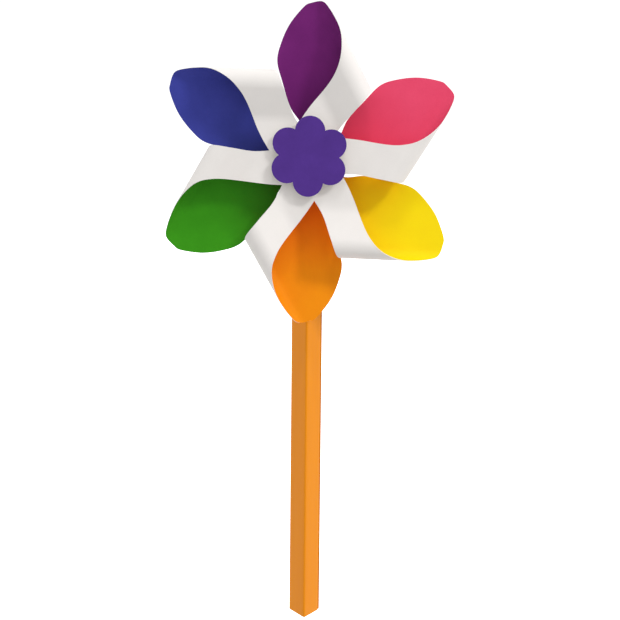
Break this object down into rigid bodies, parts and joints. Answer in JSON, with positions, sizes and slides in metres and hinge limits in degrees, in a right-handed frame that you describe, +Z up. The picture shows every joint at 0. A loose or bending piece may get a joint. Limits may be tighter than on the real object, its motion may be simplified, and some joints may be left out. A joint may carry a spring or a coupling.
{
  "type": "pinwheel",
  "caption": "Card pinwheel: coloured leaf blades curled over to a hub on a paper fastener, with a flower centre, on a folded three-sided card stick.",
  "frame": {"origin": "on the outer face of the stick's flat back panel, 60 mm above the stick's lower end, where a hand or a clamp holds it", "axes": "+Z up along the stick, -Y out of the front of the wheel along its axle, +X to the right seen from the front"},
  "size_m": [0.1672, 0.048, 0.3705],
  "materials": {
    "card_purple": "matt printed face, white back",
    "card_pink": "matt printed face, white back",
    "card_yellow": "matt printed face, white back",
    "card_orange": "matt printed face, white back",
    "card_green": "matt printed face, white back",
    "card_blue": "matt printed face, white back",
    "card_violet": "matt printed card",
    "card_stick_orange": "matt card, scored along the ridge",
    "glue": "dried white glue",
    "brass": "polished, lightly marked",
    "washer_brass": "satin",
    "bead_plastic": "glossy",
    "tape": "double-sided tape"
  },
  "bodies": {
    "stick": {"stick_tube": "card_stick_orange", "seam_tape": "tape"},
    "rotor": {"blade_purple": "card_purple", "blade_pink": "card_pink", "blade_yellow": "card_yellow", "blade_orange": "card_orange", "blade_green": "card_green", "blade_blue": "card_blue", "flower_cap": "card_violet", "glue_dot": "glue", "fastener_cap": "brass", "fastener_legs": "brass"},
    "bead": {"spacer_bead": "bead_plastic"},
    "washer": {"rear_washer": "washer_brass"}
  },
  "joints": [
    {"name": "rotor_spin", "type": "hinge", "parent": "stick", "child": "rotor", "pos_m": [0, 0, 0.2174], "axis": [0, -1, 0], "continuous": true},
    {"name": "bead_spin", "type": "hinge", "parent": "stick", "child": "bead", "pos_m": [0, 0, 0.2174], "axis": [0, -1, 0], "continuous": true},
    {"name": "washer_spin", "type": "hinge", "parent": "stick", "child": "washer", "pos_m": [0, 0, 0.2174], "axis": [0, -1, 0], "continuous": true}
  ]
}
